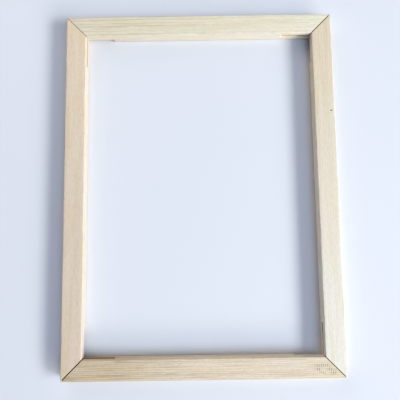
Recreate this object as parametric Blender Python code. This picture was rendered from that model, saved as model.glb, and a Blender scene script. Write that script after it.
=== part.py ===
"""Unmeshed wooden screen printing frame: four pine rails joined by slip tongues at mitred corners.

Metres, +Z up. The origin is the centre of the frame on the surface it lies on.
X runs across the frame, Y along it, and Z through the rails' thickness.

Every rail is the same moulding with the same two ends, so any rail fits either of its neighbours.
Its thickness is split into three equal levels: low, middle and top.

    end A (local +X)    top: mitred cheek    middle: tongue    low: open rebate
    end B (local -X)    top: mitred cheek    middle: slot      low: tongue

At a corner an end A meets an end B: A's middle tongue fills B's slot, and B's low tongue fills A's
rebate. Both tongues reach the neighbour's outer face, so their end grain shows on the outside.
The slot and the rebate run on past the inner corner, where a corner key can be driven in.
"""

import math
from collections import namedtuple

import bmesh
import bpy
from mathutils import Vector

MM = 0.001

# Driving dimensions
FRAME_WIDTH = 300 * MM
FRAME_LENGTH = 400 * MM
RAIL_WIDTH = 22 * MM
RAIL_THICKNESS = 15 * MM
EASED_EDGE = 0.8 * MM

# Corner joints
LEVEL = RAIL_THICKNESS / 3
FIT_GAP = 0.3 * MM
REBATE_RUN = 30 * MM
SLOT_RUN = 34 * MM
OUTER_RUN = 6 * MM
CUTTER_RADIUS = 60 * MM

# The mitres were not cut equally tight
MITRE_GAPS = {
    "top_left": 0.5 * MM,
    "top_right": 0.8 * MM,
    "bottom_right": 0.75 * MM,
    "bottom_left": 1.0 * MM,
}

# How finely curves are divided, and how far cutters stand outside the wood
EDGE_SEGMENTS = 3
ARC_STEPS = 12
OVERCUT = 2 * MM

TONGUE_LOW_TOP = LEVEL - FIT_GAP / 2
TONGUE_MID_BOTTOM = LEVEL + FIT_GAP / 2
TONGUE_MID_TOP = 2 * LEVEL - FIT_GAP / 2
SLOT_TOP = 2 * LEVEL + FIT_GAP / 2

ACROSS = (FRAME_LENGTH - RAIL_WIDTH) / 2
ALONG = (FRAME_WIDTH - RAIL_WIDTH) / 2
Rail = namedtuple("Rail", "name length centre turn corner_a corner_b colour")
RAILS = (
    Rail(
        "bottom_rail", FRAME_WIDTH, (0, -ACROSS, 0), 0,
        "bottom_right", "bottom_left", (0.56, 0.45, 0.31),
    ),
    Rail(
        "right_rail", FRAME_LENGTH, (ALONG, 0, 0), 90,
        "top_right", "bottom_right", (0.76, 0.68, 0.54),
    ),
    Rail(
        "top_rail", FRAME_WIDTH, (0, ACROSS, 0), 180,
        "top_left", "top_right", (0.71, 0.63, 0.47),
    ),
    Rail(
        "left_rail", FRAME_LENGTH, (-ALONG, 0, 0), 270,
        "bottom_left", "top_left", (0.68, 0.55, 0.43),
    ),
)
WOOD_ROUGHNESS = 0.6


def clear_scene():
    for obj in list(bpy.data.objects):
        bpy.data.objects.remove(obj, do_unlink=True)


def wood_material(name, colour):
    material = bpy.data.materials.new(name)
    material.use_nodes = True
    shader = material.node_tree.nodes["Principled BSDF"]
    shader.inputs["Base Color"].default_value = (*colour, 1.0)
    shader.inputs["Roughness"].default_value = WOOD_ROUGHNESS
    shader.inputs["Metallic"].default_value = 0.0
    return material


def blank_mesh(name, length):
    """A square-ended rail, its four long edges eased, lying on z = 0 with its inner face at +Y."""
    bm = bmesh.new()
    bmesh.ops.create_cube(bm, size=1.0)
    bmesh.ops.scale(bm, vec=(length, RAIL_WIDTH, RAIL_THICKNESS), verts=bm.verts)
    bmesh.ops.translate(bm, vec=(0, 0, RAIL_THICKNESS / 2), verts=bm.verts)
    long_edges = [e for e in bm.edges if abs(e.verts[0].co.x - e.verts[1].co.x) > length / 2]
    bmesh.ops.bevel(
        bm, geom=long_edges, offset=EASED_EDGE, segments=EDGE_SEGMENTS, profile=0.5, affect="EDGES"
    )
    mesh = bpy.data.meshes.new(name)
    bm.to_mesh(mesh)
    bm.free()
    return mesh


def prism_mesh(name, outline, low, high):
    """A closed upright prism on an outline of (x, y) points."""
    bm = bmesh.new()
    ring = [bm.verts.new((x, y, low)) for x, y in outline]
    base = bm.faces.new(ring)
    raised = bmesh.ops.extrude_face_region(bm, geom=[base])["geom"]
    top_verts = [v for v in raised if isinstance(v, bmesh.types.BMVert)]
    bmesh.ops.translate(bm, vec=(0, 0, high - low), verts=top_verts)
    bmesh.ops.recalc_face_normals(bm, faces=bm.faces)
    mesh = bpy.data.meshes.new(name)
    bm.to_mesh(mesh)
    bm.free()
    return mesh


# The cutters' outlines have their zero at the rail's end, on its centre line, and the wood lies
# towards -X of it. side is 1 for end A, and -1 mirrors the outline for end B.

def mitre_outline(side):
    """The waste beyond the mitre, which runs from the outer corner back to the inner corner."""
    half = RAIL_WIDTH / 2
    at_outer = (side * OVERCUT, -half - OVERCUT)
    beyond = (side * OVERCUT, half + OVERCUT)
    at_inner = (-side * (RAIL_WIDTH + OVERCUT), half + OVERCUT)
    return (at_outer, beyond, at_inner)


def kerf_outline(side, inner_run):
    """The sweep of a disc cutter: full width over the corner, then an arc to each face.

    The arc leaves the inner face inner_run past the inner corner and the outer face OUTER_RUN past it.
    """
    half = RAIL_WIDTH / 2
    on_inner = Vector((-RAIL_WIDTH - inner_run, half))
    on_outer = Vector((-RAIL_WIDTH - OUTER_RUN, -half))
    chord = on_outer - on_inner
    towards_centre = Vector((-chord.y, chord.x)).normalized()
    height = math.sqrt(CUTTER_RADIUS**2 - (chord.length / 2) ** 2)
    centre = (on_inner + on_outer) / 2 + towards_centre * height
    points = []
    for step in range(ARC_STEPS + 1):
        y = (half + OVERCUT) * (1 - 2 * step / ARC_STEPS)
        x = centre.x - math.sqrt(CUTTER_RADIUS**2 - (y - centre.y) ** 2)
        points.append((side * x, y))
    points.append((side * OVERCUT, -half - OVERCUT))
    points.append((side * OVERCUT, half + OVERCUT))
    return points


def end_cutter_meshes():
    """The waste of end A, then of end B, as meshes that every rail shares."""
    above = RAIL_THICKNESS + OVERCUT
    inside_slot = (TONGUE_LOW_TOP + SLOT_TOP) / 2
    end_a = (
        prism_mesh("mitre_a", mitre_outline(1), TONGUE_MID_TOP, above),
        prism_mesh("rebate_a", kerf_outline(1, REBATE_RUN), -OVERCUT, TONGUE_MID_BOTTOM),
    )
    end_b = (
        prism_mesh("mitre_b", mitre_outline(-1), inside_slot, above),
        prism_mesh("slot_b", kerf_outline(-1, SLOT_RUN), TONGUE_LOW_TOP, SLOT_TOP),
    )
    return end_a, end_b


def add_object(name, mesh, parent, location):
    obj = bpy.data.objects.new(name, mesh)
    bpy.context.scene.collection.objects.link(obj)
    obj.parent = parent
    obj.location = location
    return obj


def cut_end(rail, end_x, end_meshes, mitre_gap):
    """Cut the end of a rail at end_x with cutters that are parented to it.

    Each of the two rails at a corner gives up half of the mitre gap, measured square to the mitre,
    so its mitre cutter moves back along the rail by half the gap times the root of two.
    """
    mitre_end_x = end_x - math.copysign(mitre_gap / math.sqrt(2), end_x)
    mitre, kerf = end_meshes
    for mesh, cutter_x in ((mitre, mitre_end_x), (kerf, end_x)):
        cutter = add_object(f"cut_{rail.name}_{mesh.name}", mesh, rail, (cutter_x, 0, 0))
        cutter.hide_render = True
        cutter.display_type = "WIRE"
        boolean = rail.modifiers.new(mesh.name, "BOOLEAN")
        boolean.operation = "DIFFERENCE"
        boolean.solver = "EXACT"
        boolean.object = cutter


def build():
    clear_scene()
    frame_centre = add_object("frame_centre", None, None, (0, 0, 0))
    end_a, end_b = end_cutter_meshes()
    for spec in RAILS:
        rail = add_object(spec.name, blank_mesh(spec.name, spec.length), frame_centre, spec.centre)
        rail.rotation_euler = (0, 0, math.radians(spec.turn))
        rail.data.materials.append(wood_material(f"{spec.name}_wood", spec.colour))
        cut_end(rail, spec.length / 2, end_a, MITRE_GAPS[spec.corner_a])
        cut_end(rail, -spec.length / 2, end_b, MITRE_GAPS[spec.corner_b])


build()
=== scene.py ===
"""Looks of the unmeshed screen printing frame: four bare pine rails in soft window light.

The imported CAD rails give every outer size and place. Each is replaced by a finer rail of the same
shape, with worn arrises, sawn joint faces and growth rings that run right through the wood.

A rail is made in its own frame: X along it, its inner face at +Y, its underside on z = 0.
Meshes are in metres. The grain is worked out in millimetres, in the rail's own frame.
"""

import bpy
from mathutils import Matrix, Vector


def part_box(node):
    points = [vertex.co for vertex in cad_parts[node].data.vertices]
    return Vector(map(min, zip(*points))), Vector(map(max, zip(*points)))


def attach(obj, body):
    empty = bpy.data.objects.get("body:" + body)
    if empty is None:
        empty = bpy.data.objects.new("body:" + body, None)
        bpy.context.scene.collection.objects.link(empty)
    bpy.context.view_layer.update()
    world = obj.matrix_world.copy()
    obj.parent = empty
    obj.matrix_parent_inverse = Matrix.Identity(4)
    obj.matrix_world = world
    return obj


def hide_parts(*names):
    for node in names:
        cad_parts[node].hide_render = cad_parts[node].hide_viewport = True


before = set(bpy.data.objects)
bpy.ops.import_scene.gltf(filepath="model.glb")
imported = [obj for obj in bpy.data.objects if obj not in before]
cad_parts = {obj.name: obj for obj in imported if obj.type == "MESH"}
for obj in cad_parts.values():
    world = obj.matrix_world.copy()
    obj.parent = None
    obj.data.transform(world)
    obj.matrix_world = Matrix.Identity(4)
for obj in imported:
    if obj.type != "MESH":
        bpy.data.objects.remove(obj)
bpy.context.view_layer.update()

import math
import random
from collections import namedtuple

import bmesh
import bpy
from mathutils import Matrix, Vector, noise

MM = 0.001

# ---------------------------------------------------------------- rails: sizes, ends and wear

LOW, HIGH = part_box("bottom_rail")
RAIL_WIDTH = HIGH.y - LOW.y
RAIL_THICKNESS = HIGH.z - LOW.z
HALF = RAIL_WIDTH / 2

LEVEL = RAIL_THICKNESS / 3
FIT_GAP = 0.3 * MM
REBATE_RUN = 30 * MM
SLOT_RUN = 34 * MM
OUTER_RUN = 6 * MM
CUTTER_RADIUS = 60 * MM
TONGUE_LOW_TOP = LEVEL - FIT_GAP / 2
TONGUE_MID_BOTTOM = LEVEL + FIT_GAP / 2
TONGUE_MID_TOP = 2 * LEVEL - FIT_GAP / 2
SLOT_TOP = 2 * LEVEL + FIT_GAP / 2
MITRE_GAPS = {
    "top_left": 0.5 * MM,
    "top_right": 0.8 * MM,
    "bottom_right": 0.75 * MM,
    "bottom_left": 1.0 * MM,
}

ARRIS = 0.8 * MM
ARRIS_STEPS = 4
ARRIS_WEAR = 0.35
MITRE_BREAK = 0.1 * MM
HOLLOW = 0.05 * MM
STATION = 2.5 * MM
KERF_STEPS = 28
OVERCUT = 2 * MM

# Edges that turn by more degrees than this are shaded sharp
SHARP_ANGLE = 32

# Points that divide the inner and outer faces, and the top and the underside, between two arrises
SIDE_POINTS = 3
FACE_POINTS = 7

# How quickly hollows and arris wear change, per metre, and what sets the four arrises' wear apart
HOLLOWS_ALONG = 28
HOLLOWS_ACROSS = 90
WEAR_ALONG = 45
WEAR_SHIFT = 7.3

# Nicks: how far from the middle as a part of the length, then depth and reach in millimetres
NICKS_PER_RAIL = 7
NICK_SPREAD = 0.46
NICK_DEPTHS = (0.3, 0.9)
NICK_REACHES = (1, 4)

# ---------------------------------------------------------------- looks of each rail's wood

# Colours are linear. early is the pale wood at end A and at end B, and fade the stretch over which
# one turns into the other, with the rail running from 0 at end B to 1 at end A. The change from one
# end's colour to the other's is partly the wood's own and partly painted light falling off along
# the rail. inner is a painted tint for the light on the inner face: it makes the lit inner faces
# paler and bluer and the shaded bottom one lighter and warmer. late is the colour of the late wood.
# lines is how strongly the late wood shows at each end, and streak how strongly the fine streaks
# do. pith is where the rings' centre passes (y, z), lean how far it drifts in y and z per unit of
# length, ring one year's growth, and wander how far the rings sway. A knot is (x, y, radius).
# Lengths are millimetres. seed sets the rail's noise and nicks apart from the others'.
Look = namedtuple(
    "Look",
    "early_a early_b fade inner late lines_a lines_b streak pith lean ring wander knots seed",
)
Rail = namedtuple("Rail", "turn corner_a corner_b look")

RAILS = {
    "bottom_rail": Rail(
        0, "bottom_right", "bottom_left",
        Look(
            early_a=(0.865, 0.735, 0.54), early_b=(0.71, 0.575, 0.385), fade=(0.14, 0.52),
            inner=(1.08, 1.05, 1.0), late=(0.34, 0.20, 0.11),
            lines_a=0.36, lines_b=1.0, streak=1.6, pith=(95.0, -30.0), lean=(0.006, 0.004),
            ring=1.9, wander=1.2, knots=(), seed=11,
        ),
    ),
    "right_rail": Rail(
        90, "top_right", "bottom_right",
        Look(
            early_a=(0.80, 0.66, 0.45), early_b=(0.895, 0.845, 0.735), fade=(-0.35, 1.35),
            inner=(1.01, 1.0, 1.0), late=(0.58, 0.41, 0.27),
            lines_a=0.48, lines_b=0.15, streak=1.0, pith=(-60.0, -42.0), lean=(0.012, 0.0),
            ring=2.2, wander=1.6, knots=((87.0, -7.2, 0.8),), seed=23,
        ),
    ),
    "top_rail": Rail(
        180, "top_left", "top_right",
        Look(
            early_a=(0.82, 0.735, 0.535), early_b=(0.935, 0.865, 0.69), fade=(-0.35, 0.78),
            inner=(0.96, 0.98, 1.09), late=(0.47, 0.32, 0.21),
            lines_a=0.85, lines_b=0.24, streak=0.9, pith=(120.0, 8.0), lean=(0.008, 0.0),
            ring=4.1, wander=1.1, knots=(), seed=37,
        ),
    ),
    "left_rail": Rail(
        270, "bottom_left", "top_left",
        Look(
            early_a=(0.77, 0.625, 0.475), early_b=(0.83, 0.68, 0.49), fade=(-0.3, 1.0),
            inner=(0.92, 0.99, 1.10), late=(0.58, 0.42, 0.29),
            lines_a=0.2, lines_b=0.14, streak=1.0, pith=(14.0, -60.0), lean=(-0.01, 0.006),
            ring=2.6, wander=1.8, knots=(), seed=53,
        ),
    ),
}

# Tints of the pale wood's bands, then the colours of its small marks
PINKISH = (1.0, 0.955, 0.93)
YELLOWISH = (0.97, 0.98, 0.88)
RESIN = (0.33, 0.20, 0.11)
KNOT = (0.16, 0.085, 0.045)
# Arris darkening: partly handling grime, partly painted shade of the rounded arrises
HANDLED_AND_SHADED = (0.46, 0.38, 0.29)

# The rail's three kinds of surface, in the order of its material slots, and the cut ones' tints.
# The mitre faces' dark tint is partly their end grain and partly painted shade of the mitre gap
PLANED, SAWN, MITRED = range(3)
TINTS = {SAWN: (1.06, 1.0, 0.93), MITRED: (0.42, 0.31, 0.215)}

# Painted shade down in the mitre gap: its walls and the tongue that crosses below it are darkened
# where the gap's shade falls. In millimetres, where it thins out: away from the mitre's plane, up
# towards the top face, and down just below the upper face of the tongue that crosses under the gap
MITRE_GAP_SHADE = (0.085, 0.052, 0.03)
GAP_SHADE_WIDTH = (0.6, 1.3)
GAP_SHADE_TOP = (11.0, 15.0)
GAP_SHADE_FOOT = (9.0, 9.6)

# Dents of a planer's ribbed feed roller: three rows of short strokes across the grain, by the
# bottom rail's end A. Lengths are millimetres.
RollerMarks = namedtuple("RollerMarks", "middle_x middle_y half_length row_pitch stroke_pitch")
ROLLER_MARKS = {"bottom_rail": RollerMarks(127.0, -1.3, 14.0, 3.9, 2.1)}

# Cells of the wood's noises, as millimetres along the rail and across it
SWAY_CELLS = (85.0, 30.0)
PINK_CELLS = (70.0, 5.0)
YELLOW_CELLS = (55.0, 4.0)
FADED_CELLS = (60.0, 6.0)
STREAK_CELLS = (34.0, 0.9)
FIBRE_CELLS = (9.0, 0.3)
FLECK_CELLS = (4.5, 1.4)
DUCT_CELLS = (3.2, 0.22)
TORN_CELLS = (1.6, 0.5)
HANDLED_AND_SHADED_CELLS = (14.0, 6.0)
MISSED_CELLS = (6.0, 5.0)

# How much late wood there is through one year's ring, from its start at 0 to its end at 1
LATE_WOOD = ((0.0, 0.25), (0.07, 0.0), (0.55, 0.0), (0.8, 0.30), (0.93, 1.0), (1.0, 0.25))

# How wide and how high the rings swell round a knot, in knot radii. Across the rail a distance
# from the knot counts for less, so the knot is wider that way.
KNOT_SPREAD = 3.5
KNOT_SWELL = 1.6
KNOT_ACROSS = 0.6

# Relief of the surface, in millimetres
FIBRE_HEIGHT = 0.014
LATE_HEIGHT = 0.02
SCORE_HEIGHT = 0.09
TORN_HEIGHT = 0.07
RIPPLE_HEIGHT = 0.004
RIPPLE_PITCH = 1.7
DENT_DEPTH = 0.08
SCORES_PER_MM = 2.4
WOOD_SPECULAR = 0.28


# ---------------------------------------------------------------- mesh work

def loft(name, rings, side_slot, cap_slot):
    """A closed mesh through rings of points, capped at both ends, facing outwards."""
    bm = bmesh.new()
    loops = [[bm.verts.new(point) for point in ring] for ring in rings]
    for near, far in zip(loops, loops[1:]):
        for i in range(len(near)):
            j = (i + 1) % len(near)
            bm.faces.new((near[i], near[j], far[j], far[i])).material_index = side_slot
    for end in (loops[0], loops[-1]):
        bm.faces.new(end).material_index = cap_slot
    bmesh.ops.recalc_face_normals(bm, faces=bm.faces)
    mesh = bpy.data.meshes.new(name)
    bm.to_mesh(mesh)
    bm.free()
    return mesh


def add_object(name, mesh):
    obj = bpy.data.objects.new(name, mesh)
    bpy.context.scene.collection.objects.link(obj)
    return obj


def rail_section(radii):
    """The rail's outline as (y, z) points, anticlockwise from the bottom of the inner arris.

    radii are those of the four arrises: bottom inner, top inner, top outer, bottom outer.
    """
    corners = ((HALF, 0.0), (HALF, RAIL_THICKNESS), (-HALF, RAIL_THICKNESS), (-HALF, 0.0))
    runs = (SIDE_POINTS, FACE_POINTS) * 2
    arcs = []
    for index, ((y, z), radius) in enumerate(zip(corners, radii)):
        centre = Vector((y - math.copysign(radius, y), radius if z == 0.0 else z - radius))
        start = math.radians(90 * (index - 1))
        arc = []
        for step in range(ARRIS_STEPS + 1):
            angle = start + math.radians(90) * step / ARRIS_STEPS
            arc.append(centre + radius * Vector((math.cos(angle), math.sin(angle))))
        arcs.append(arc)
    points = []
    for arc, following, run in zip(arcs, arcs[1:] + arcs[:1], runs):
        points += arc
        points += [arc[-1].lerp(following[0], (i + 1) / (run + 1)) for i in range(run)]
    return points


def hollowed(x, y, z, seed):
    """The point drawn a little into the wood, as hand-fed planing leaves a face not quite flat."""
    place = Vector((x * HOLLOWS_ALONG, y * HOLLOWS_ACROSS + seed, z * HOLLOWS_ACROSS))
    depth = HOLLOW * (0.5 + 0.5 * noise.noise(place))
    inward = Vector((-y / HALF, 1 - 2 * z / RAIL_THICKNESS))
    if abs(inward.x) >= abs(inward.y):
        return (x, y + math.copysign(depth, inward.x), z)
    return (x, y, z + math.copysign(depth, inward.y))


def arris_radius(x, index, seed, nicks):
    """The rounding of one arris at x: rubbed unevenly, and deeper at a nick."""
    wear = noise.noise(Vector((x * WEAR_ALONG, index * WEAR_SHIFT, seed)))
    radius = ARRIS * (1 + ARRIS_WEAR * wear)
    for arris, centre, extra, reach in nicks:
        if arris == index:
            radius += extra * math.exp(-(((x - centre) / reach) ** 2))
    return radius


def rail_blank(name, length, seed):
    """A square-ended rail with worn arrises."""
    draw = random.Random(seed)
    nicks = []
    for _ in range(NICKS_PER_RAIL):
        place = draw.uniform(-NICK_SPREAD, NICK_SPREAD) * length
        arris = draw.randrange(4)
        depth = draw.uniform(*NICK_DEPTHS) * MM
        nicks.append((arris, place, depth, draw.uniform(*NICK_REACHES) * MM))
    rings = []
    stations = round(length / STATION)
    for step in range(stations + 1):
        x = length * (step / stations - 0.5)
        radii = [arris_radius(x, index, seed, nicks) for index in range(4)]
        rings.append([hollowed(x, y, z, seed) for y, z in rail_section(radii)])
    return loft(name, rings, PLANED, SAWN)


def prism(name, outline, low, high):
    return loft(name, [[(x, y, z) for x, y in outline] for z in (low, high)], SAWN, SAWN)


def mitre_cutter(name, side, low):
    """The waste beyond the mitre, flared at the top so that the arris it leaves is just broken."""
    into_wood = Vector((-side, -1.0)).normalized()
    at_outer = Vector((side * OVERCUT, -HALF - OVERCUT))
    at_inner = Vector((-side * (RAIL_WIDTH + OVERCUT), HALF + OVERCUT))
    beyond = Vector((side * OVERCUT, HALF + OVERCUT))
    rings = []
    for z, flare in (
        (low, 0.0),
        (RAIL_THICKNESS - MITRE_BREAK, 0.0),
        (RAIL_THICKNESS + OVERCUT, MITRE_BREAK + OVERCUT),
    ):
        shift = into_wood * flare
        rings.append([(p.x, p.y, z) for p in (at_outer + shift, beyond, at_inner + shift)])
    return loft(name, rings, MITRED, SAWN)


def kerf_centre(inner_run):
    """The cutter's centre, measured from the rail's end, for end A."""
    on_inner = Vector((-RAIL_WIDTH - inner_run, HALF))
    on_outer = Vector((-RAIL_WIDTH - OUTER_RUN, -HALF))
    chord = on_outer - on_inner
    towards_centre = Vector((-chord.y, chord.x)).normalized()
    height = math.sqrt(CUTTER_RADIUS**2 - (chord.length / 2) ** 2)
    return (on_inner + on_outer) / 2 + towards_centre * height


def kerf_outline(side, inner_run):
    """The sweep of the disc cutter over the corner, closed by its arc through the rail."""
    centre = kerf_centre(inner_run)
    points = []
    for step in range(KERF_STEPS + 1):
        y = (HALF + OVERCUT) * (1 - 2 * step / KERF_STEPS)
        x = centre.x - math.sqrt(CUTTER_RADIUS**2 - (y - centre.y) ** 2)
        points.append((side * x, y))
    points.append((side * OVERCUT, -HALF - OVERCUT))
    points.append((side * OVERCUT, HALF + OVERCUT))
    return points


def cut_ends(rail, length, gap_a, gap_b):
    """Cut both ends and keep the result as the rail's own mesh; cut faces keep their slots."""
    in_slot = (TONGUE_LOW_TOP + SLOT_TOP) / 2
    back_a = gap_a / math.sqrt(2)
    back_b = gap_b / math.sqrt(2)
    end = length / 2
    cutters = (
        (mitre_cutter("mitre_a", 1, TONGUE_MID_TOP), end - back_a),
        (prism("rebate_a", kerf_outline(1, REBATE_RUN), -OVERCUT, TONGUE_MID_BOTTOM), end),
        (mitre_cutter("mitre_b", -1, in_slot), back_b - end),
        (prism("slot_b", kerf_outline(-1, SLOT_RUN), TONGUE_LOW_TOP, SLOT_TOP), -end),
    )
    tools = []
    for mesh, x in cutters:
        tool = add_object(mesh.name, mesh)
        tool.location = (x, 0, 0)
        tools.append(tool)
        boolean = rail.modifiers.new(mesh.name, "BOOLEAN")
        boolean.operation = "DIFFERENCE"
        boolean.solver = "EXACT"
        boolean.object = tool
    depsgraph = bpy.context.evaluated_depsgraph_get()
    cut = bpy.data.meshes.new_from_object(rail.evaluated_get(depsgraph))
    rail.modifiers.clear()
    rail.data = cut
    for tool in tools:
        bpy.data.objects.remove(tool)
    cut.shade_smooth()
    cut.set_sharp_from_angle(angle=math.radians(SHARP_ANGLE))


def make_rail(node, spec):
    low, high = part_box(node)
    length = max(high.x - low.x, high.y - low.y)
    rail = add_object(node + "_wood", rail_blank(node + "_wood", length, spec.look.seed))
    for surface in (PLANED, SAWN, MITRED):
        rail.data.materials.append(pine(node, spec.look, length, surface))
    cut_ends(rail, length, MITRE_GAPS[spec.corner_a], MITRE_GAPS[spec.corner_b])
    centre = (low + high) / 2
    rail.matrix_world = Matrix.Translation((centre.x, centre.y, low.z)) @ Matrix.Rotation(
        math.radians(spec.turn), 4, "Z"
    )
    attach(rail, node)
    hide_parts(node)


# ---------------------------------------------------------------- material work

class Graph:
    """Short calls for the nodes of one material."""

    def __init__(self, name):
        self.material = bpy.data.materials.new(name)
        self.material.use_nodes = True
        self.tree = self.material.node_tree
        self.shader = self.tree.nodes["Principled BSDF"]

    def node(self, kind, inputs=(), **settings):
        made = self.tree.nodes.new(kind)
        for key, value in settings.items():
            setattr(made, key, value)
        for socket, value in zip(made.inputs, inputs):
            self.put(socket, value)
        return made

    def put(self, socket, value):
        if isinstance(value, bpy.types.NodeSocket):
            self.tree.links.new(value, socket)
        elif value is not None:
            socket.default_value = value

    def math(self, operation, *inputs, clamp=False):
        return self.node("ShaderNodeMath", inputs, operation=operation, use_clamp=clamp).outputs[0]

    def vector(self, x, y, z):
        return self.node("ShaderNodeCombineXYZ", (x, y, z)).outputs[0]

    def noise(self, place, detail=2.0, roughness=0.5):
        """Smooth noise from 0 to 1 that changes over about one unit of place."""
        made = self.node("ShaderNodeTexNoise")
        self.put(made.inputs["Vector"], place)
        self.put(made.inputs["Scale"], 1.0)
        self.put(made.inputs["Detail"], detail)
        self.put(made.inputs["Roughness"], roughness)
        return made.outputs["Fac"]

    def range(self, value, low, high, to_low=0.0, to_high=1.0):
        made = self.node(
            "ShaderNodeMapRange", (value, low, high, to_low, to_high), interpolation_type="SMOOTHSTEP"
        )
        return made.outputs[0]

    def mix(self, factor, first, second, blend="MIX"):
        made = self.node("ShaderNodeMix", data_type="RGBA", blend_type=blend)
        for name, value in (("Factor_Float", factor), ("A_Color", first), ("B_Color", second)):
            socket = next(s for s in made.inputs if s.identifier == name)
            self.put(socket, (*value, 1.0) if isinstance(value, tuple) else value)
        return next(s for s in made.outputs if s.identifier == "Result_Color")

    def ramp(self, factor, stops):
        made = self.node("ShaderNodeValToRGB", (factor,))
        elements = made.color_ramp.elements
        while len(elements) < len(stops):
            elements.new(1.0)
        for element, (position, level) in zip(elements, stops):
            element.position = position
            element.color = (level, level, level, 1.0)
        return made.outputs[0]


def grain_place(g):
    """The rail's own x, y and z in millimetres."""
    own = g.node("ShaderNodeTexCoord").outputs["Object"]
    scaled = g.node("ShaderNodeVectorMath", (own, (1 / MM, 1 / MM, 1 / MM)), operation="MULTIPLY")
    split = g.node("ShaderNodeSeparateXYZ", (scaled.outputs[0],))
    return split.outputs[0], split.outputs[1], split.outputs[2]


def stretched(g, place, cells, shift):
    """A noise place with cells of the given length along the rail and width across it."""
    x, y, z = place
    along, across = cells
    return g.vector(
        g.math("MULTIPLY_ADD", x, 1 / along, shift),
        g.math("MULTIPLY_ADD", y, 1 / across, shift * 1.7),
        g.math("MULTIPLY_ADD", z, 1 / across, shift * 2.3),
    )


def knot_distances(g, place, look):
    """How far a point is from each knot's axis, which stands upright and is wider across."""
    x, y, _ = place
    found = []
    for knot_x, knot_y, radius in look.knots:
        across = g.math("MULTIPLY", g.math("SUBTRACT", y, knot_y), KNOT_ACROSS)
        offset = g.vector(g.math("SUBTRACT", x, knot_x), across, 0.0)
        length = g.node("ShaderNodeVectorMath", (offset,), operation="LENGTH").outputs["Value"]
        found.append((length, radius))
    return found


def growth_rings(g, place, look, knots):
    """0 in the pale early wood of each ring, rising to 1 in its narrow late wood."""
    x, y, z = place
    sway = g.noise(stretched(g, place, SWAY_CELLS, look.seed * 0.37), detail=1.0)
    swing = g.math("MULTIPLY_ADD", sway, 2 * look.wander, -look.wander)
    across = g.math("SUBTRACT", y, g.math("MULTIPLY_ADD", x, look.lean[0], look.pith[0]))
    upright = g.math("SUBTRACT", z, g.math("MULTIPLY_ADD", x, look.lean[1], look.pith[1]))
    offset = g.vector(g.math("ADD", across, swing), g.math("ADD", upright, swing), 0.0)
    radius = g.node("ShaderNodeVectorMath", (offset,), operation="LENGTH").outputs["Value"]
    for distance, size in knots:
        spread = g.math("DIVIDE", distance, size * KNOT_SPREAD)
        squared = g.math("MULTIPLY", spread, spread)
        bulge = g.math("POWER", math.e, g.math("MULTIPLY", squared, -1.0))
        radius = g.math("MULTIPLY_ADD", bulge, size * KNOT_SWELL, radius)
    years = g.math("DIVIDE", radius, look.ring)
    season = g.noise(g.vector(g.math("MULTIPLY", years, 0.7), look.seed * 1.3, 0.0), detail=1.0)
    count = g.math("MULTIPLY_ADD", season, 1.5, years)
    part = g.math("FRACT", count)
    return g.ramp(part, LATE_WOOD), count


def pale_wood(g, place, look, length):
    """The colour between the lines: from end B's to end A's, in pinkish and yellowish bands."""
    to_a = g.math("MULTIPLY_ADD", place[0], MM / length, 0.5, clamp=True)
    # Partly painted light: besides the wood's own change, the shift from end B's colour to end A's
    # stands in for the light falling off along the rail
    colour = g.mix(g.range(to_a, *look.fade), look.early_b, look.early_a)
    pink = g.range(g.noise(stretched(g, place, PINK_CELLS, look.seed)), 0.42, 0.66)
    yellow = g.range(g.noise(stretched(g, place, YELLOW_CELLS, look.seed * 1.9)), 0.46, 0.68)
    colour = g.mix(pink, colour, g.mix(1.0, colour, PINKISH, "MULTIPLY"))
    colour = g.mix(yellow, colour, g.mix(1.0, colour, YELLOWISH, "MULTIPLY"))
    return colour, to_a


def line_strength(g, place, look, count, to_a):
    """The lines fade along the rail and in patches, and some years are darker than others."""
    stronger, weaker = max(look.lines_a, look.lines_b), min(look.lines_a, look.lines_b)
    near = to_a if look.lines_a > look.lines_b else g.math("SUBTRACT", 1.0, to_a)
    strength = g.math("MULTIPLY_ADD", g.math("POWER", near, 3.0), stronger - weaker, weaker)
    fade = g.noise(stretched(g, place, FADED_CELLS, look.seed * 0.61))
    strength = g.math("MULTIPLY", strength, g.range(fade, 0.25, 0.7, 0.4, 1.3))
    year_tone = g.noise(g.vector(g.math("FLOOR", count), look.seed * 0.9, 0.0), detail=0.0)
    return g.math("MULTIPLY", strength, g.range(year_tone, 0.3, 0.7, 0.55, 1.25))


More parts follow.
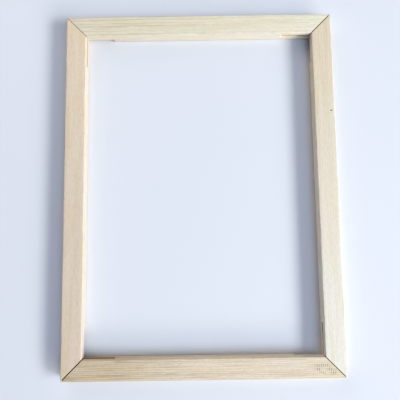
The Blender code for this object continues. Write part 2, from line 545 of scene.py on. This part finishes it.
def pine(node, look, length, surface):
    """Bare pine: planed on the long faces, rougher and scored where a saw has been."""
    g = Graph(f"{node}_{('planed', 'sawn', 'mitred')[surface]}")
    place = grain_place(g)
    knots = knot_distances(g, place, look)
    late, count = growth_rings(g, place, look, knots)
    colour, to_a = pale_wood(g, place, look, length)
    strength = line_strength(g, place, look, count, to_a)
    colour = g.mix(g.math("MULTIPLY", late, strength, clamp=True), colour, look.late)

    # Streaks a millimetre wide, then single fibres, resin ducts and knots
    streak = g.noise(stretched(g, place, STREAK_CELLS, look.seed * 1.3), detail=2.0, roughness=0.65)
    depth = g.math("MULTIPLY", strength, 0.35 * look.streak)
    depth = g.math("ADD", depth, 0.07 * look.streak)
    streaky = g.math("MULTIPLY", g.range(streak, 0.42, 0.72), depth, clamp=True)
    colour = g.mix(streaky, colour, look.late)
    fibre = g.noise(stretched(g, place, FIBRE_CELLS, look.seed * 2.1), detail=3.0, roughness=0.6)
    colour = g.mix(1.0, colour, g.ramp(fibre, ((0.28, 0.91), (0.72, 1.03))), "MULTIPLY")
    fleck = g.noise(stretched(g, place, FLECK_CELLS, look.seed * 2.9), roughness=0.6)
    darkest = 1 - 0.07 * look.streak
    colour = g.mix(1.0, colour, g.ramp(fleck, ((0.3, darkest), (0.55, 1.0), (0.75, 1.03))), "MULTIPLY")
    duct = g.noise(stretched(g, place, DUCT_CELLS, look.seed * 3.7), detail=0.0)
    duct = g.math("MULTIPLY", g.range(duct, 0.70, 0.78), g.math("MULTIPLY_ADD", late, 0.4, 0.2))
    colour = g.mix(duct, colour, RESIN)
    for distance, radius in knots:
        core = g.range(distance, radius * 0.5, radius * 1.35, 1.0, 0.0)
        colour = g.mix(g.math("MULTIPLY", core, 0.92), colour, KNOT)

    height = g.math("MULTIPLY_ADD", fibre, FIBRE_HEIGHT, g.math("MULTIPLY", late, LATE_HEIGHT))
    roughness = g.math("MULTIPLY_ADD", fibre, 0.14, 0.52)
    if surface != PLANED:
        colour, height, roughness = sawn_surface(g, place, colour, height, length, TINTS[surface])
    else:
        colour, height = planed_surface(g, place, look, colour, height)
        if node in ROLLER_MARKS:
            colour, height = roller_marks(g, place, colour, height, ROLLER_MARKS[node])
    bump = g.node("ShaderNodeBump")
    g.put(bump.inputs["Distance"], MM)
    g.put(bump.inputs["Strength"], 1.0)
    g.put(bump.inputs["Height"], height)
    g.put(g.shader.inputs["Normal"], bump.outputs[0])
    g.put(g.shader.inputs["Base Color"], colour)
    g.put(g.shader.inputs["Roughness"], roughness)
    g.shader.inputs["Specular IOR Level"].default_value = WOOD_SPECULAR
    return g.material


def sawn_surface(g, place, colour, height, length, tint):
    """Torn wood with the disc cutter's curved score marks, in its tint, with painted shade in the
    mitre gap.
    """
    x, y, z = place
    end_x = length / 2 / MM
    along = g.math("ABSOLUTE", x)
    centre = kerf_centre((REBATE_RUN + SLOT_RUN) / 2)
    from_end = g.math("SUBTRACT", along, end_x + centre.x / MM)
    offset = g.vector(from_end, g.math("SUBTRACT", y, centre.y / MM), 0.0)
    reach = g.node("ShaderNodeVectorMath", (offset,), operation="LENGTH").outputs["Value"]
    score = g.noise(g.vector(g.math("MULTIPLY", reach, SCORES_PER_MM), 0.0, 0.0), detail=1.0)
    torn = g.noise(stretched(g, place, TORN_CELLS, 4.4), detail=3.0)
    shade = g.math("MULTIPLY_ADD", torn, 0.3, g.math("MULTIPLY_ADD", score, 0.3, 0.7))
    grey = g.node("ShaderNodeCombineColor", (shade, shade, shade)).outputs[0]
    colour = g.mix(1.0, g.mix(1.0, colour, tint, "MULTIPLY"), grey, "MULTIPLY")
    # Painted shade down in the mitre gap, on its walls and on the tongue that crosses below it
    beyond_mitre = g.math("ADD", g.math("SUBTRACT", along, end_x), g.math("ADD", y, HALF / MM))
    off_mitre = g.math("DIVIDE", g.math("ABSOLUTE", beyond_mitre), math.sqrt(2))
    by_mitre = g.range(off_mitre, *GAP_SHADE_WIDTH, 1.0, 0.0)
    gap_shade = g.math("MULTIPLY", by_mitre, g.range(z, *GAP_SHADE_TOP, 1.0, 0.0))
    gap_shade = g.math("MULTIPLY", gap_shade, g.range(z, *GAP_SHADE_FOOT))
    colour = g.mix(gap_shade, colour, MITRE_GAP_SHADE)
    height = g.math("MULTIPLY_ADD", score, SCORE_HEIGHT, height)
    height = g.math("MULTIPLY_ADD", torn, TORN_HEIGHT, height)
    return colour, height, g.math("MULTIPLY_ADD", torn, 0.15, 0.75)


def planed_surface(g, place, look, colour, height):
    """Knife ripple, painted light on the inner face, arrises darkened by handling and painted shade.
    """
    x, y, z = place
    half = HALF / MM
    thick = RAIL_THICKNESS / MM
    # Painted light: the inner face takes the rail's inner tint, paler and bluer on the lit left and
    # top rails, lighter and warmer on the shaded bottom rail
    inside = g.range(y, half - 0.6, half - 0.2)
    colour = g.mix(inside, colour, g.mix(1.0, colour, look.inner, "MULTIPLY"))
    from_side = g.math("SUBTRACT", half, g.math("ABSOLUTE", y))
    from_face = g.math("SUBTRACT", thick / 2, g.math("ABSOLUTE", g.math("SUBTRACT", z, thick / 2)))
    # Painted shade: arrises darkened in patches, partly as handling grime and partly as the shade on
    # the rounded arrises
    near = g.range(g.math("MAXIMUM", from_side, from_face), 0.5, 2.2, 1.0, 0.0)
    patch = g.range(g.noise(stretched(g, place, HANDLED_AND_SHADED_CELLS, 9.1)), 0.45, 0.7)
    colour = g.mix(g.math("MULTIPLY", g.math("MULTIPLY", near, patch), 0.3), colour, HANDLED_AND_SHADED)
    ripple = g.math("SINE", g.math("MULTIPLY", x, 2 * math.pi / RIPPLE_PITCH))
    return colour, g.math("MULTIPLY_ADD", ripple, RIPPLE_HEIGHT, height)


def roller_marks(g, place, colour, height, marks):
    """Rows of shallow, dark strokes across the grain; some strokes are missing."""
    half_length, row_pitch, stroke_pitch = marks.half_length, marks.row_pitch, marks.stroke_pitch
    x = g.math("SUBTRACT", place[0], marks.middle_x)
    y = g.math("SUBTRACT", place[1], marks.middle_y)
    stroke = g.math("ABSOLUTE", g.math("WRAP", x, stroke_pitch / 2, -stroke_pitch / 2))
    row = g.math("ABSOLUTE", g.math("WRAP", y, row_pitch / 2, -row_pitch / 2))
    in_stroke = g.range(stroke, 0.2, 0.6, 1.0, 0.0)
    in_row = g.range(row, 1.2, 1.65, 1.0, 0.0)
    in_length = g.range(g.math("ABSOLUTE", x), half_length - 5.0, half_length, 1.0, 0.0)
    in_width = g.range(g.math("ABSOLUTE", y), 1.5 * row_pitch - 0.5, 1.5 * row_pitch, 1.0, 0.0)
    kept = g.range(g.noise(stretched(g, place, MISSED_CELLS, 6.2), detail=0.0), 0.34, 0.58)
    on_top = g.range(place[2], RAIL_THICKNESS / MM - 0.6, RAIL_THICKNESS / MM - 0.4)
    mark = g.math("MULTIPLY", in_stroke, in_row)
    for part in (in_length, in_width, kept, on_top):
        mark = g.math("MULTIPLY", mark, part)
    colour = g.mix(g.math("MULTIPLY", mark, 0.85), colour, RESIN)
    return colour, g.math("MULTIPLY_ADD", mark, -DENT_DEPTH, height)


# ---------------------------------------------------------------- floor, light and camera

FLOOR_SIZE = 6.0
FLOOR_COLOUR = (0.76, 0.76, 0.77)
FLOOR_DROP = 0.8 * MM
BACKDROP_HEIGHT = 4.0
BACKDROP_SIDES = 64
BACKDROP_COLOUR = (0.66, 0.71, 0.78)


def plain_piece(name, bm, values):
    """An object from bm in one plain material, whose shader has the given values by socket name."""
    mesh = bpy.data.meshes.new(name)
    bm.to_mesh(mesh)
    bm.free()
    material = bpy.data.materials.new("pale_" + name)
    material.use_nodes = True
    shader = material.node_tree.nodes["Principled BSDF"]
    for socket, value in values.items():
        shader.inputs[socket].default_value = value
    mesh.materials.append(material)
    return add_object(name, mesh)


def make_floor():
    """A round pale floor just under the frame."""
    bm = bmesh.new()
    bmesh.ops.create_circle(bm, cap_ends=True, segments=BACKDROP_SIDES, radius=FLOOR_SIZE / 2)
    matt = {"Base Color": (*FLOOR_COLOUR, 1.0), "Roughness": 0.9, "Specular IOR Level": 0.1}
    floor = plain_piece("floor", bm, matt)
    floor.location.z = -FLOOR_DROP


def make_backdrop():
    """A plain pale wall round the floor. Only the camera sees it: it gives and takes no light."""
    bm = bmesh.new()
    rings = []
    for z in (-FLOOR_DROP, BACKDROP_HEIGHT):
        foot = Vector((FLOOR_SIZE / 2, 0, z))
        turns = (Matrix.Rotation(math.tau * i / BACKDROP_SIDES, 3, "Z") for i in range(BACKDROP_SIDES))
        rings.append([bm.verts.new(turn @ foot) for turn in turns])
    low, high = rings
    for i in range(BACKDROP_SIDES):
        j = (i + 1) % BACKDROP_SIDES
        bm.faces.new((low[j], low[i], high[i], high[j]))
    glow = {
        "Base Color": (0.0, 0.0, 0.0, 1.0),
        "Specular IOR Level": 0.0,
        "Emission Color": (*BACKDROP_COLOUR, 1.0),
        "Emission Strength": 1.0,
    }
    backdrop = plain_piece("backdrop", bm, glow)
    backdrop.visible_diffuse = False
    backdrop.visible_glossy = False
    backdrop.visible_transmission = False
    backdrop.visible_shadow = False


# Each light: where it stands round the frame and above it (degrees), how far off, its size
# (metres), its power (watts) and its colour. Azimuth 0 is +X and 90 is +Y.
Lamp = namedtuple("Lamp", "name azimuth elevation distance width height power colour")
LAMPS = (
    Lamp("window", -16, 31, 4.0, 2.2, 1.0, 147, (0.865, 0.945, 1.0)),
    Lamp("low_warm_fill", -48, 21, 3.5, 2.4, 1.0, 78, (1.0, 0.91, 0.80)),
    Lamp("far_fill", 125, 28, 1.4, 1.2, 0.9, 7.6, (1.0, 0.97, 0.95)),
    Lamp("sky_fill", -45, 60, 2.0, 1.2, 1.2, 13.5, (0.60, 0.74, 1.0)),
)
ROOM_COLOUR = (0.48, 0.62, 1.0)
ROOM_STRENGTH = 0.165


def make_lamp(spec):
    """A rectangular soft light aimed at the frame's centre."""
    light = bpy.data.lights.new(spec.name, "AREA")
    light.shape = "RECTANGLE"
    light.size = spec.width
    light.size_y = spec.height
    light.energy = spec.power
    light.color = spec.colour
    lamp = add_object(spec.name, light)
    azimuth = math.radians(spec.azimuth)
    elevation = math.radians(spec.elevation)
    level = Vector((math.cos(azimuth), math.sin(azimuth), 0))
    outward = level * math.cos(elevation) + Vector((0, 0, math.sin(elevation)))
    lamp.location = outward * spec.distance
    lamp.rotation_mode = "QUATERNION"
    lamp.rotation_quaternion = outward.to_track_quat("Z", "Y")
    lamp.visible_camera = False


def make_lights():
    world = bpy.data.worlds.new("soft_room")
    world.use_nodes = True
    background = world.node_tree.nodes["Background"]
    background.inputs["Color"].default_value = (*ROOM_COLOUR, 1.0)
    background.inputs["Strength"].default_value = ROOM_STRENGTH
    bpy.context.scene.world = world
    for spec in LAMPS:
        make_lamp(spec)


# The camera: metres for its place and millimetres for its lens, tilt and roll in degrees
CAMERA_PLACE = (-0.0013, -0.0538, 0.448)
CAMERA_TILT = 5.634
CAMERA_ROLL = -0.828
SENSOR_WIDTH = 36.0
LENS = 36.0


def make_camera():
    """Almost straight above: 433 mm over the top faces, tilted 5.6 degrees and rolled a little."""
    data = bpy.data.cameras.new("camera")
    data.sensor_width = SENSOR_WIDTH
    data.lens = LENS
    data.clip_start = 0.01
    camera = add_object("camera", data)
    camera.location = CAMERA_PLACE
    camera.rotation_mode = "ZYX"
    camera.rotation_euler = (math.radians(CAMERA_TILT), 0.0, math.radians(CAMERA_ROLL))
    scene = bpy.context.scene
    scene.camera = camera
    scene.view_settings.view_transform = "Standard"


for node_name, rail_spec in RAILS.items():
    make_rail(node_name, rail_spec)
make_floor()
make_backdrop()
make_lights()
make_camera()
